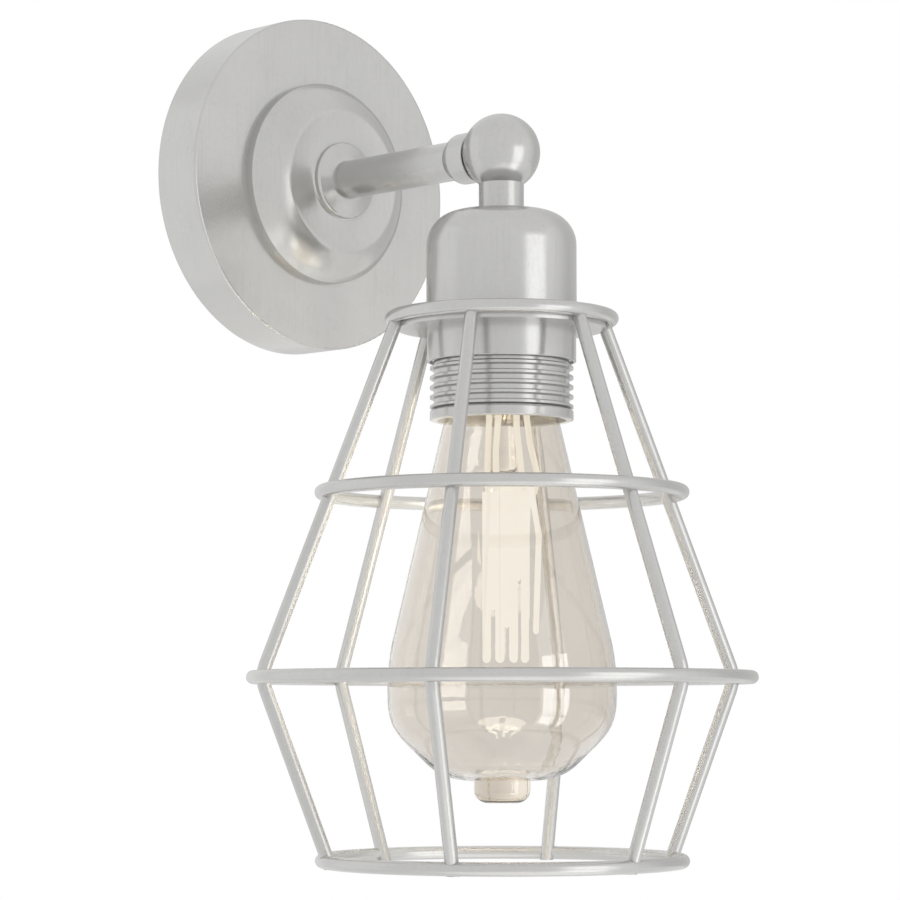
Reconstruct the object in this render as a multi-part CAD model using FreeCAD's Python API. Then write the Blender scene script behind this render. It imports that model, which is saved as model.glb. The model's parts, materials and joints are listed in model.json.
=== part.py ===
"""Cage wall light: a round canopy, a short arm with a ball swivel, a lampholder and a wire cage.

Millimetres. +Z is up and the wall is the plane Y = 0. The origin is the centre of the canopy's back, on the
wall. The light stands out along -Y, and the arm's axis is the Y axis. The lampholder, the bulb and the cage
hang from the swivel ball, round the vertical line through the ball's centre, which is called the cage axis.
"""
import FreeCAD
import Part
import math
import os

# ---- overall sizes ----
REACH = 92.2            # wall to the cage axis
CANOPY_R = 50.0
CANOPY_DEPTH = 16.7
CANOPY_WALL = 1.5
CANOPY_EDGE = 0.7       # radius of the canopy's front edge

# ---- wall strap and what it carries, inside the canopy ----
STRAP_W = 20.0
STRAP_T = 2.0
STRAP_GAP = 1.5         # tongue's face to the canopy's inside, on the centre line
TONGUE_OUT = 12.0       # how far the tongues stand off the wall
SLOT_SPACING = 60.0     # wall screws, centre to centre
SLOT_L = 12.0
SLOT_W = 4.6
CABLE_HOLE_R = 8.0
GRUB_R = 2.0
GRUB_L = 9.0
GRUB_KEY_R = 1.1
CATCH_W = 14.0
CATCH_RIM = 3.0         # sheet left at each side of the catch's window
CATCH_T = 1.2
CATCH_H = 8.0
CATCH_Y = 8.0           # wall to the catch's window
CATCH_SLACK = 0.3
BLOCK_W = 24.0
BLOCK_H = 10.0
BLOCK_D = 10.0
BLOCK_FLOOR = 5.0       # depth left under the block's screws
BLOCK_Z = 16.0          # height of the block's middle
POLE_PITCH = 8.0
POLE_HOLE_R = 1.6
EARTH_Z = -15.0
M3_R = 1.5
M4_R = 2.0
HEAD_H = 2.2
HEAD_OVER = 1.8         # a screw head's radius less its thread's
SLOT_HALF = 0.4         # half the width of a screw's driver slot
SCREW_BACK = 0.4        # wall to the ends of the screws in the strap

# ---- rosette, boss and arm ----
ROSETTE_R = 30.2
ROSETTE_T = 1.3
ROSETTE_RIM_H = 2.9     # height of the upright rim
ROSETTE_RIM_EDGE = 0.7
ROSETTE_FALL_R = 26.5   # where the rim's slope would meet the crest's, were the dome not round
ROSETTE_FALL_H = 7.4
ROSETTE_CREST_R = 21.0  # the crest round the dish
ROSETTE_CREST_H = 9.5
ROSETTE_CREST_EDGE = 1.0
ROSETTE_DOME_R = 17.0   # roundness of the dome between rim and crest
DISH_LOW_R = 18.8
DISH_LOW_H = 8.6
DISH_MID_H = 9.4        # height under the boss
BOSS_R = 11.4
BOSS_EDGE_H = 1.3
BOSS_DOME_H = 2.8
BOSS_TOP_R = 6.5
BOSS_SPIGOT_R = 8.0
ARM_R = 5.65
ARM_BORE_CLEAR = 0.05   # radial clearance of the arm's bore on the swivel's threaded tube
ARM_SOCKET = 6.0        # depth of the arm's socket in the boss
NIPPLE_R = 5.0          # M10 hollow thread
NIPPLE_BORE_R = 3.6
NIPPLE_BACK = 6.0       # wall to the nipple's back end
NUT_ACROSS = 14.0
NUT_H = 4.0
WASHER_R = 9.0
WASHER_T = 1.0

# ---- ball swivel ----
BALL_R = 11.05
BALL_GAP = 0.35         # collar's concave face to the ball
COLLAR_R = 7.3
COLLAR_L = 9.1
COLLAR_FLARE = 2.6      # length of the flare from the arm's radius to the collar's
SWIVEL_R = 4.0          # M8 hollow thread
SWIVEL_BORE_R = 2.7
SWIVEL_IN_ARM = 10.0
SLOT_CLEAR = 0.3
BALL_WALL = 2.8
BALL_SIDE_WALL = 1.1    # the ball's wall at the cavity's corners
TILT_RANGE = 70.0
SADDLE_GAP = 0.3
SADDLE_T = 2.3
SADDLE_HALF_H = 5.2
RUNNING = 0.1           # clearance of the washer on the threaded tube and under its nut
SPIGOT_IN = 0.4         # the neck's spigot stands this far into the ball's cavity
SWIVEL_NUT_H = 2.4

# ---- neck, cup and lampholder, downwards from the ball ----
NECK_R = 6.4
NECK_L = 8.1
NECK_BORE_R = 3.2
NECK_SPIGOT_R = 4.2     # brazed spigot in the ball
NECK_THREAD_L = 11.5
CUP_H = 31.6
CUP_WALL = 1.3
CUP_SHOULDER = 9.6
CUP_OVER_THREAD = 1.0   # the cup's radius less the thread's
LOCK_NUT_H = 3.4
BRIDGE_T = 1.5
BRIDGE_HALF = 14.2
BRIDGE_W = 12.0
BRIDGE_FOOT = 7.0
INSULATOR_BASE = 9.0
INSULATOR_WALL = 3.75
INSULATOR_SKIRT = 27.0
INSULATOR_RIM = 1.5     # ceramic left outside the wire screws' heads
INSULATOR_EDGE = 1.0
CONTACT_STRIP_W = 6.0
CONTACT_STRIP_L = 18.0
SHELL_WALL = 0.5
SHELL_L = 21.0
SLEEVE_WALL = 1.0
SLEEVE_IN_CUP = 8.0
SLEEVE_DROP = 25.9      # cage plate to the sleeve's bottom
THREAD_DEPTH = 1.1
THREAD_PITCH = 2.75
THREAD_NOSE = 0.8       # half a ridge's height where it meets the sleeve
THREAD_FLAT = 0.35      # half the height of its flat top
THREAD_START = 2.75     # cage plate to the first ridge
FLANGE_H = 2.9
FLANGE_EDGE = 0.5
RING_NUT_H = 9.3
RING_NUT_WALL = 0.8     # outside the thread
RING_NUT_EDGE = 0.3
THREAD_RUN = 0.08       # clearance of the ring nut on the sleeve's thread
SEAT = 0.02             # clearance of pieces that are screwed or brazed together
HOLE_CLEAR = 0.2        # clearance of a through hole round a thread
HEAD_CLEAR = 0.3        # least gap from a screw's head to a wall beside it

# ---- wire cage ----
WIRE_R = 1.9
PLATE_T = 2.0
TOP_RING_R = 31.2       # centre lines
UPPER_RING_R = 50.8
MIDDLE_RING_R = 69.7
LOWER_RING_R = 50.3
TOP_RING_LIFT = 1.0     # the top ring's centre line above the plate's top face
UPPER_DROP = 49.2       # below the top ring
MIDDLE_DROP = 101.0
LOWER_DROP = 151.9
RIB_COUNT = 6
RIB_TURN = -91.0        # the first rib's direction round the cage axis, from +X
RIB_IN_TOP = 1.3        # how far the ribs' centre lines lie inside the rings'
RIB_IN_MIDDLE = 1.2
RIB_IN_LOWER = 0.9
RIB_BEND_R = 10.0
RIB_START = 0.4         # the rib's end above the top ring's underside
RIB_NUB = 0.15          # the rib's end below the lower ring

# ---- bulb ----
CAP_R = 13.2            # E27 thread crest
CAP_CLEAR = 0.35
CAP_DEPTH = 0.8
CAP_PITCH = 3.6
CAP_TURNS = 5
CAP_L = 25.0
CAP_T = 0.4
CONTACT_R = 4.6
CONTACT_H = 1.3
CAP_GLASS_H = 2.4
CONTACT_GAP = 0.3
STRIP_T = 0.5
PAD_H = 0.5
BULB_L = 142.0          # contact to the glass tip's end
GLASS_T = 0.8
GLASS_IN_CAP = 4.0      # the glass's neck reaches this far up into the cap
GLASS_NECK_CLEAR = 1.62 # the glass body's neck inside the lampholder's sleeve
GLASS_NECK_AT = 99.8    # heights above the body's bottom
GLASS_FLANK_R = 30.6
GLASS_FLANK_AT = 39.5
GLASS_R = 32.1
GLASS_WIDEST_AT = 25.9
GLASS_HIP = (30.5, 15.2)
GLASS_TURN = (23.5, 7.1)
GLASS_TIP_R = 7.9
GLASS_TIP_H = 6.1
GLASS_TIP_EDGE = 3.8
STEM_FLARE_CLEAR = 0.3  # the stem's flare inside the glass's neck
STEM_R = 4.4
STEM_L = 21.0
ROD_R = 1.1
FILAMENT_R = 0.45
FILAMENT_RING_R = 9.0   # the loops stand in a ring round the rod
FILAMENT_LOW = 33.2     # lowest loops above the glass body's bottom
FILAMENT_L = 48.6
LOOP_TURN = -164.5      # the first loop's direction round the cage axis, from +X
LOOP_STEP = 25.3        # degrees from loop to loop
LOOP_LEGS = 1.45        # centre to centre of one loop's two legs
LOOP_LIFTS = (0, 0, 0, 0, 8, 10, 12, 27, 10, 15)  # each loop's end above the lowest
ROD_SHORT = 2.0         # the rod's end above the lowest loops
HOOK_R = 0.35
HOOK_GAP = 0.1
GAP_POINTS = 24         # points along each edge of the filament's path in its gap test

# ---- heights worked out from the sizes above, measured from the arm's axis ----
NECK_TOP = -math.sqrt(BALL_R ** 2 - NECK_R ** 2)
CUP_TOP = NECK_TOP - NECK_L
CUP_BOTTOM = CUP_TOP - CUP_H
PLATE_BOTTOM = CUP_BOTTOM - PLATE_T
RING_NUT_BOTTOM = PLATE_BOTTOM - RING_NUT_H
SLEEVE_BOTTOM = PLATE_BOTTOM - SLEEVE_DROP
TOP_RING_Z = CUP_BOTTOM + TOP_RING_LIFT
UPPER_RING_Z = TOP_RING_Z - UPPER_DROP
MIDDLE_RING_Z = TOP_RING_Z - MIDDLE_DROP
LOWER_RING_Z = TOP_RING_Z - LOWER_DROP

# ---- radii inside the ball ----
ARM_BORE_R = SWIVEL_R + ARM_BORE_CLEAR
CAVITY_R = BALL_R - BALL_WALL
CAVITY_HALF = math.sqrt((BALL_R - BALL_SIDE_WALL) ** 2 - CAVITY_R ** 2)
SADDLE_SEAT = CAVITY_R - SADDLE_GAP - SADDLE_T
SWIVEL_NUT_R = CAVITY_HALF - HEAD_CLEAR - HOLE_CLEAR

# ---- radii of the lampholder, from the bulb's cap outwards ----
SHELL_BORE_R = CAP_R + CAP_CLEAR
INSULATOR_BORE_R = SHELL_BORE_R + SHELL_WALL + SEAT
INSULATOR_R = INSULATOR_BORE_R + INSULATOR_WALL
SLEEVE_BORE_R = INSULATOR_R + CAP_CLEAR
THREAD_ROOT_R = SLEEVE_BORE_R + SLEEVE_WALL
THREAD_R = THREAD_ROOT_R + THREAD_DEPTH
RING_NUT_R = THREAD_R + RING_NUT_WALL
CUP_R = THREAD_R + CUP_OVER_THREAD
CUP_BORE_R = CUP_R - CUP_WALL
PLATE_R = TOP_RING_R - math.sqrt(WIRE_R ** 2 - TOP_RING_LIFT ** 2) - SEAT
PLATE_HOLE_R = THREAD_R + HOLE_CLEAR
GLASS_NECK_R = SLEEVE_BORE_R - GLASS_NECK_CLEAR
GLASS_LIP_R = CAP_R - CAP_DEPTH - CAP_T - SEAT
STEM_FLARE_R = GLASS_LIP_R - GLASS_T - STEM_FLARE_CLEAR
THREAD_ROOM = SLEEVE_DROP - FLANGE_H - THREAD_START - THREAD_NOSE
THREAD_COUNT = math.floor(THREAD_ROOM / THREAD_PITCH) + 1

# ---- stack inside the cup ----
CUP_CEILING = CUP_TOP - CUP_WALL
FIRST_NUT_TOP = CUP_CEILING - WASHER_T
BRIDGE_TOP = FIRST_NUT_TOP - LOCK_NUT_H
BRIDGE_BOTTOM = BRIDGE_TOP - BRIDGE_T
SECOND_NUT_BOTTOM = BRIDGE_BOTTOM - LOCK_NUT_H
NECK_END = CUP_TOP - NECK_THREAD_L
INSULATOR_TOP = SECOND_NUT_BOTTOM - BRIDGE_T - HEAD_H
INSULATOR_FLOOR = INSULATOR_TOP - INSULATOR_BASE
CONTACT_TIP = INSULATOR_FLOOR - STRIP_T - PAD_H - CONTACT_GAP
CAP_TOP = CONTACT_TIP - CONTACT_H - CAP_GLASS_H
CAP_BOTTOM = CAP_TOP - CAP_L
BODY_BOTTOM = CONTACT_TIP - BULB_L + GLASS_TIP_H
FILAMENT_FOOT = BODY_BOTTOM + FILAMENT_LOW
FILAMENT_HEAD = FILAMENT_FOOT + FILAMENT_L

X = FreeCAD.Vector(1, 0, 0)
Y = FreeCAD.Vector(0, 1, 0)
Z = FreeCAD.Vector(0, 0, 1)
ORIGIN = FreeCAD.Vector(0, 0, 0)


# ---- drawing helpers ----
def corner(before, at, after, radius):
    """The two ends and the middle of the arc that rounds one corner of an outline."""
    into = (before - at).normalize()
    out = (after - at).normalize()
    half = math.acos(max(-1.0, min(1.0, into.dot(out)))) / 2
    run = radius / math.tan(half)
    centre = at + (into + out).normalize() * (radius / math.sin(half))
    middle = centre + (at - centre).normalize() * radius
    return at + into * run, middle, at + out * run


def outline(points):
    """A closed wire in the XZ plane. A point is (x, z) or (x, z, radius of its rounded corner)."""
    spots = [FreeCAD.Vector(p[0], 0, p[1]) for p in points]
    ends = []
    for index, point in enumerate(points):
        at = spots[index]
        if len(point) == 2:
            ends.append((at, None, at))
        else:
            ends.append(corner(spots[index - 1], at, spots[(index + 1) % len(spots)], point[2]))
    edges = []
    for index, (start, middle, finish) in enumerate(ends):
        if middle is not None:
            edges.append(Part.Arc(start, middle, finish).toShape())
        following = ends[(index + 1) % len(ends)][0]
        if (following - finish).Length > 1e-6:
            edges.append(Part.LineSegment(finish, following).toShape())
    return Part.Wire(edges)


def turned(points):
    """A solid of revolution about Z. A point is (radius, height) or (radius, height, corner radius)."""
    return Part.Face(outline(points)).revolve(ORIGIN, Z, 360)


def tube(outer, inner, low, high):
    return turned([(inner, low), (outer, low), (outer, high), (inner, high)])


def rod(radius, low, high, x=0.0, y=0.0):
    return Part.makeCylinder(radius, high - low, FreeCAD.Vector(x, y, low), Z)


def block(x_low, x_high, y_low, y_high, z_low, z_high):
    size = (x_high - x_low, y_high - y_low, z_high - z_low)
    return Part.makeBox(*size, FreeCAD.Vector(x_low, y_low, z_low))


def hexagon(across, bore, low, high):
    """A hexagon nut about Z."""
    reach = across / math.sqrt(3)
    angles = [math.radians(60 * step) for step in range(7)]
    rim = [FreeCAD.Vector(reach * math.cos(a), reach * math.sin(a), low) for a in angles]
    body = Part.Face(Part.makePolygon(rim)).extrude(Z * (high - low))
    return body.cut(rod(bore, low - 1, high + 1))


def screw(thread, low, seat, head_height):
    """A pan-head screw about Z whose head stands on the height seat, with a cross slot in it."""
    shank = rod(thread, low, seat)
    head_r = thread + HEAD_OVER
    head = turned([(0, seat), (head_r, seat), (head_r, seat + head_height, head_height / 3),
                   (0, seat + head_height)])
    reach = head_r * 0.7
    slot = block(-reach, reach, -SLOT_HALF, SLOT_HALF, seat + head_height / 2, seat + head_height + 1)
    slot = slot.fuse(slot.rotated(ORIGIN, Z, 90))
    return shank.fuse(head).cut(slot).removeSplitter()


def outwards(shape):
    """Turns a shape drawn about Z so that its height becomes its distance from the wall."""
    return shape.rotated(ORIGIN, X, 90)


def moved(shape, x, y, z):
    return shape.translated(FreeCAD.Vector(x, y, z))


def on_cage_axis(shape):
    return moved(shape, 0, -REACH, 0)


# ---- on the wall ----
def canopy():
    inside_r = CANOPY_R - CANOPY_WALL
    face = CANOPY_DEPTH - CANOPY_WALL
    hole_r = NIPPLE_R + HOLE_CLEAR
    shell = turned([(hole_r, face), (inside_r, face), (inside_r, 0), (CANOPY_R, 0),
                    (CANOPY_R, CANOPY_DEPTH, CANOPY_EDGE), (hole_r, CANOPY_DEPTH)])
    shell = outwards(shell)
    screw_hole = moved(rod(GRUB_R + HOLE_CLEAR, 0, CANOPY_R + 1), 0, -screw_out(), 0)
    return shell.cut(screw_hole)


def screw_out():
    """Distance of the canopy's grub screw from the wall."""
    return (STRAP_T + TONGUE_OUT) / 2


def tongue_top():
    """Height of the tongues' outer faces, which clear the canopy's inside at their corners too."""
    inside_r = CANOPY_R - CANOPY_WALL
    return min(inside_r - STRAP_GAP, math.sqrt((inside_r - HOLE_CLEAR) ** 2 - (STRAP_W / 2) ** 2))


def wall_strap():
    top = tongue_top()
    half = STRAP_W / 2
    strap = block(-half, half, -STRAP_T, 0, -top, top)
    upper = block(-half, half, -TONGUE_OUT, 0, top - STRAP_T, top)
    narrow = CATCH_W / 2 - CATCH_RIM
    lower = block(-narrow, narrow, -TONGUE_OUT, 0, -top, -top + STRAP_T)
    strap = strap.fuse(upper).fuse(lower)
    strap = strap.cut(outwards(rod(CABLE_HOLE_R, -1, STRAP_T + 1)))
    for side in (-1, 1):
        middle = side * SLOT_SPACING / 2
        straight = (SLOT_L - SLOT_W) / 2
        slot = block(-SLOT_W / 2, SLOT_W / 2, -STRAP_T - 1, 1, middle - straight, middle + straight)
        for end in (-1, 1):
            slot = slot.fuse(moved(outwards(rod(SLOT_W / 2, -1, STRAP_T + 1)), 0, 0, middle + end * straight))
        strap = strap.cut(slot)
    strap = strap.cut(moved(rod(GRUB_R + SEAT, 0, CANOPY_R), 0, -screw_out(), 0))
    for thread, height in ((M3_R, BLOCK_Z), (M4_R, EARTH_Z)):
        strap = strap.cut(moved(outwards(rod(thread + SEAT, -1, STRAP_T + 1)), 0, 0, height))
    return strap.removeSplitter()


def canopy_screw():
    top = CANOPY_R - CANOPY_EDGE / 2
    grub = rod(GRUB_R, top - GRUB_L, top)
    key = Part.Face(Part.makePolygon([FreeCAD.Vector(GRUB_KEY_R * math.cos(math.radians(60 * step)),
                                                     GRUB_KEY_R * math.sin(math.radians(60 * step)),
                                                     top - GRUB_R) for step in range(7)]))
    grub = grub.cut(key.extrude(Z * (GRUB_R + 1)))
    return moved(grub, 0, -screw_out(), 0)


def canopy_catch():
    """A Z-shaped clip on the canopy's front, whose window drops on the strap's bottom tongue."""
    tongue_low = -tongue_top()
    inside_r = CANOPY_R - CANOPY_WALL
    face = CANOPY_DEPTH - CANOPY_WALL
    half = CATCH_W / 2
    slack = CATCH_SLACK
    foot = -math.sqrt(inside_r ** 2 - half ** 2) + slack
    shelf = tongue_low + STRAP_T + CATCH_H
    window_plate = block(-half, half, -CATCH_Y - CATCH_T, -CATCH_Y, foot, shelf)
    shelf_plate = block(-half, half, -face, -CATCH_Y, shelf - CATCH_T, shelf)
    back_plate = block(-half, half, -face, -face + CATCH_T, shelf - CATCH_T, shelf + CATCH_H)
    clip = window_plate.fuse(shelf_plate).fuse(back_plate)
    opening = half - CATCH_RIM + slack
    window = block(-opening, opening, -CATCH_Y - CATCH_T - 1, -CATCH_Y + 1,
                   tongue_low - slack, tongue_low + STRAP_T + slack)
    return clip.cut(window).removeSplitter()


def terminal_block():
    front = STRAP_T + BLOCK_D
    floor = STRAP_T + BLOCK_FLOOR
    body = block(-BLOCK_W / 2, BLOCK_W / 2, -front, -STRAP_T, BLOCK_Z - BLOCK_H / 2, BLOCK_Z + BLOCK_H / 2)
    fixing = outwards(rod(M3_R + HEAD_OVER + HOLE_CLEAR, floor, front + 1))
    fixing = fixing.fuse(outwards(rod(M3_R + SEAT, 0, front)))
    body = body.cut(moved(fixing, 0, 0, BLOCK_Z))
    for side in (-1, 1):
        wire_hole = rod(POLE_HOLE_R, -BLOCK_H, BLOCK_H)
        wire_hole = moved(wire_hole, side * POLE_PITCH, -floor + POLE_HOLE_R, BLOCK_Z)
        clamp_hole = moved(outwards(rod(M3_R + SEAT, floor, front + 1)), side * POLE_PITCH, 0, BLOCK_Z)
        body = body.cut(wire_hole).cut(clamp_hole)
    return body


def terminal_clamps():
    """The two wire clamp screws, a little under the block's face, with their slots."""
    top = STRAP_T + BLOCK_D - 2 * SLOT_HALF
    clamp = rod(M3_R, STRAP_T + BLOCK_FLOOR, top)
    clamp = clamp.cut(block(-M3_R, M3_R, -SLOT_HALF, SLOT_HALF, top - 2 * SLOT_HALF, top))
    return Part.makeCompound([moved(outwards(clamp), side * POLE_PITCH, 0, BLOCK_Z) for side in (-1, 1)])


def block_screw():
    return moved(outwards(screw(M3_R, SCREW_BACK, STRAP_T + BLOCK_FLOOR, HEAD_H)), 0, 0, BLOCK_Z)


def earth_screw():
    return moved(outwards(screw(M4_R, SCREW_BACK, STRAP_T, HEAD_H)), 0, 0, EARTH_Z)


# ---- rosette and arm ----
def rosette():
    base = CANOPY_DEPTH
    inner = ROSETTE_R - ROSETTE_T
    bore = BOSS_SPIGOT_R + SEAT
    rim, fall, crest = base + ROSETTE_RIM_H, base + ROSETTE_FALL_H, base + ROSETTE_CREST_H
    low, middle = base + DISH_LOW_H, base + DISH_MID_H
    shape = turned([
        (inner, base), (ROSETTE_R, base), (ROSETTE_R, rim, ROSETTE_RIM_EDGE),
        (ROSETTE_FALL_R, fall, ROSETTE_DOME_R), (ROSETTE_CREST_R, crest, ROSETTE_CREST_EDGE),
        (DISH_LOW_R, low, 1.2), (BOSS_R, middle), (bore, middle),
        (bore, middle - ROSETTE_T), (BOSS_R, middle - ROSETTE_T), (DISH_LOW_R, low - ROSETTE_T),
        (ROSETTE_CREST_R, crest - ROSETTE_T), (ROSETTE_FALL_R - ROSETTE_T, fall - ROSETTE_T),
        (inner, rim - ROSETTE_T)])
    return outwards(shape)


def boss_base():
    return CANOPY_DEPTH + DISH_MID_H


def boss_top():
    return boss_base() + BOSS_DOME_H


def arm_boss():
    """The knob that the arm comes out of. Its spigot passes the rosette and stands on the canopy."""
    socket_floor = boss_top() - ARM_SOCKET
    shape = turned([
        (NIPPLE_R + SEAT, CANOPY_DEPTH), (BOSS_SPIGOT_R, CANOPY_DEPTH), (BOSS_SPIGOT_R, boss_base()),
        (BOSS_R, boss_base()), (BOSS_R, boss_base() + BOSS_EDGE_H, 0.9), (BOSS_TOP_R, boss_top(), 3.0),
        (ARM_R + SEAT, boss_top()), (ARM_R + SEAT, socket_floor), (NIPPLE_R + SEAT, socket_floor)])
    return outwards(shape)


def arm_nipple():
    return outwards(tube(NIPPLE_R, NIPPLE_BORE_R, NIPPLE_BACK, boss_top() - ARM_SOCKET))


def arm_washer():
    seat = CANOPY_DEPTH - CANOPY_WALL
    return outwards(tube(WASHER_R, NIPPLE_R + HOLE_CLEAR, seat - WASHER_T, seat))


def arm_nut():
    seat = CANOPY_DEPTH - CANOPY_WALL - WASHER_T
    return outwards(hexagon(NUT_ACROSS, NIPPLE_R + SEAT, seat - NUT_H, seat))


def collar_start():
    """Distance from the wall to the collar's back face, on the arm's end."""
    return REACH - collar_rim() - COLLAR_L


def collar_rim():
    """Distance from the ball's centre to the collar's rim."""
    return math.sqrt((BALL_R + BALL_GAP) ** 2 - COLLAR_R ** 2) + 0.4


def arm_tube():
    return outwards(tube(ARM_R, ARM_BORE_R, boss_top() - ARM_SOCKET, collar_start()))


def swivel_collar():
    start = collar_start()
    end = REACH - collar_rim()
    flare = start + COLLAR_FLARE
    body = turned([
        (SWIVEL_R + SEAT, start), (ARM_R, start), (COLLAR_R, flare, 2.0), (COLLAR_R, end, 0.25),
        (COLLAR_R - 0.7, end), (COLLAR_R - 0.7, end + 3), (SWIVEL_R + SEAT, end + 3)])
    hollow = Part.makeSphere(BALL_R + BALL_GAP, FreeCAD.Vector(0, 0, REACH))
    return outwards(body.cut(hollow))


# ---- ball swivel ----
def swivel_nipple():
    tip = nut_seat() + SWIVEL_NUT_H + HEAD_CLEAR
    return outwards(tube(SWIVEL_R, SWIVEL_BORE_R, collar_start() - SWIVEL_IN_ARM, tip))


def nut_seat():
    """Distance from the wall to the swivel nut's face, just off the washer's flat face."""
    return REACH - SADDLE_SEAT + RUNNING


def swivel_nut():
    return outwards(tube(SWIVEL_NUT_R, SWIVEL_R + SEAT, nut_seat(), nut_seat() + SWIVEL_NUT_H))


def swivel_washer():
    """A washer with a flat face for the nut and a round back that slides round the ball's cavity."""
    back = Part.makeCylinder(CAVITY_R - SADDLE_GAP, 2 * CAVITY_HALF, FreeCAD.Vector(-CAVITY_HALF, 0, 0), X)
    half_w = CAVITY_HALF - SADDLE_GAP
    keep = block(-half_w, half_w, SADDLE_SEAT, CAVITY_R, -SADDLE_HALF_H, SADDLE_HALF_H)
    hole = Part.makeCylinder(SWIVEL_R + RUNNING, 2 * BALL_R, ORIGIN, Y)
    return on_cage_axis(back.common(keep).cut(hole))


def slot_cutter():
    """The room that the swivel nipple sweeps through the ball's wall, from the arm up over the back."""
    half = SWIVEL_R + SLOT_CLEAR
    inner = CAVITY_R * 0.75
    outer = BALL_R + 2
    rim = [FreeCAD.Vector(x, y, 0) for x, y in ((-half, inner), (half, inner), (half, outer), (-half, outer),
                                                (-half, inner))]
    cutter = Part.Face(Part.makePolygon(rim)).revolve(ORIGIN, X, TILT_RANGE)
    for angle in (0, TILT_RANGE):
        end = Part.makeCylinder(half, outer - inner, FreeCAD.Vector(0, inner, 0), Y)
        cutter = cutter.fuse(end.rotated(ORIGIN, X, angle))
    return cutter


def swivel_ball():
    ball = Part.makeSphere(BALL_R)
    ball = ball.cut(block(-BALL_R, BALL_R, -BALL_R, BALL_R, -BALL_R - 1, NECK_TOP))
    cavity = Part.makeCylinder(CAVITY_R, 2 * CAVITY_HALF, FreeCAD.Vector(-CAVITY_HALF, 0, 0), X)
    ball = ball.cut(cavity).cut(rod(NECK_SPIGOT_R + SEAT, -BALL_R - 1, 0))
    return on_cage_axis(ball.cut(slot_cutter()))


def neck():
    spigot_top = -CAVITY_R + SPIGOT_IN
    shape = turned([
        (NECK_BORE_R, spigot_top), (NECK_SPIGOT_R, spigot_top), (NECK_SPIGOT_R, NECK_TOP), (NECK_R, NECK_TOP),
        (NECK_R, CUP_TOP), (NIPPLE_R, CUP_TOP), (NIPPLE_R, NECK_END), (NECK_BORE_R, NECK_END)])
    return on_cage_axis(shape)


# ---- lampholder ----
def cup():
    bore = NIPPLE_R + HOLE_CLEAR
    shape = turned([
        (bore, CUP_TOP), (CUP_R, CUP_TOP, CUP_SHOULDER), (CUP_R, CUP_BOTTOM), (CUP_BORE_R, CUP_BOTTOM),
        (CUP_BORE_R, CUP_CEILING, CUP_SHOULDER - CUP_WALL), (bore, CUP_CEILING)])
    return on_cage_axis(shape)


def cup_washer():
    return on_cage_axis(tube(WASHER_R, NIPPLE_R + HOLE_CLEAR, FIRST_NUT_TOP, CUP_CEILING))


def cup_nuts():
    """The nut under the cup and the nut under the bridge."""
    first = hexagon(NUT_ACROSS, NIPPLE_R + SEAT, BRIDGE_TOP, FIRST_NUT_TOP)
    second = hexagon(NUT_ACROSS, NIPPLE_R + SEAT, SECOND_NUT_BOTTOM, BRIDGE_BOTTOM)
    return on_cage_axis(Part.makeCompound([first, second]))


def foot_screw_at():
    """Distance of each bridge screw from the cage axis. Its head clears the bridge's leg."""
    return BRIDGE_HALF - BRIDGE_T - M3_R - HEAD_OVER - HEAD_CLEAR


def holder_bridge():
    half = BRIDGE_W / 2
    bridge = block(-BRIDGE_HALF, BRIDGE_HALF, -half, half, BRIDGE_BOTTOM, BRIDGE_TOP)
    for side in (-1, 1):
        outer, inner = side * BRIDGE_HALF, side * (BRIDGE_HALF - BRIDGE_T)
        toe = side * (BRIDGE_HALF - BRIDGE_T - BRIDGE_FOOT)
        leg = block(min(outer, inner), max(outer, inner), -half, half, INSULATOR_TOP, BRIDGE_TOP)
        foot = block(min(outer, toe), max(outer, toe), -half, half, INSULATOR_TOP, INSULATOR_TOP + BRIDGE_T)
        bridge = bridge.fuse(leg).fuse(foot)
        bridge = bridge.cut(rod(M3_R + HOLE_CLEAR, INSULATOR_TOP - 1, BRIDGE_BOTTOM, side * foot_screw_at()))
    bridge = bridge.cut(rod(NIPPLE_R + HOLE_CLEAR, BRIDGE_BOTTOM - 1, BRIDGE_TOP + 1))
    return on_cage_axis(bridge.removeSplitter())


def bridge_screws():
    one = screw(M3_R, INSULATOR_TOP - INSULATOR_BASE / 2, INSULATOR_TOP + BRIDGE_T, HEAD_H * 0.8)
    return on_cage_axis(Part.makeCompound([moved(one, side * foot_screw_at(), 0, 0) for side in (-1, 1)]))


def wire_screw_at():
    return INSULATOR_R - M3_R - HEAD_OVER - INSULATOR_RIM


def wire_screws():
    one = screw(M3_R, INSULATOR_TOP - INSULATOR_BASE / 2, INSULATOR_TOP, HEAD_H)
    return on_cage_axis(Part.makeCompound([moved(one, 0, side * wire_screw_at(), 0) for side in (-1, 1)]))


def socket_insulator():
    skirt = INSULATOR_FLOOR - INSULATOR_SKIRT
    body = turned([
        (0, INSULATOR_FLOOR), (INSULATOR_BORE_R, INSULATOR_FLOOR), (INSULATOR_BORE_R, skirt),
        (INSULATOR_R, skirt), (INSULATOR_R, INSULATOR_TOP, INSULATOR_EDGE), (0, INSULATOR_TOP)])
    depth = INSULATOR_TOP - INSULATOR_BASE / 2
    for side in (-1, 1):
        body = body.cut(rod(M3_R + SEAT, depth, INSULATOR_TOP + 1, side * foot_screw_at()))
        body = body.cut(rod(M3_R + SEAT, depth, INSULATOR_TOP + 1, 0, side * wire_screw_at()))
    return on_cage_axis(body)


def screw_shell():
    top = INSULATOR_FLOOR - STRIP_T - PAD_H
    return on_cage_axis(tube(SHELL_BORE_R + SHELL_WALL, SHELL_BORE_R, top - SHELL_L, top))


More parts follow.
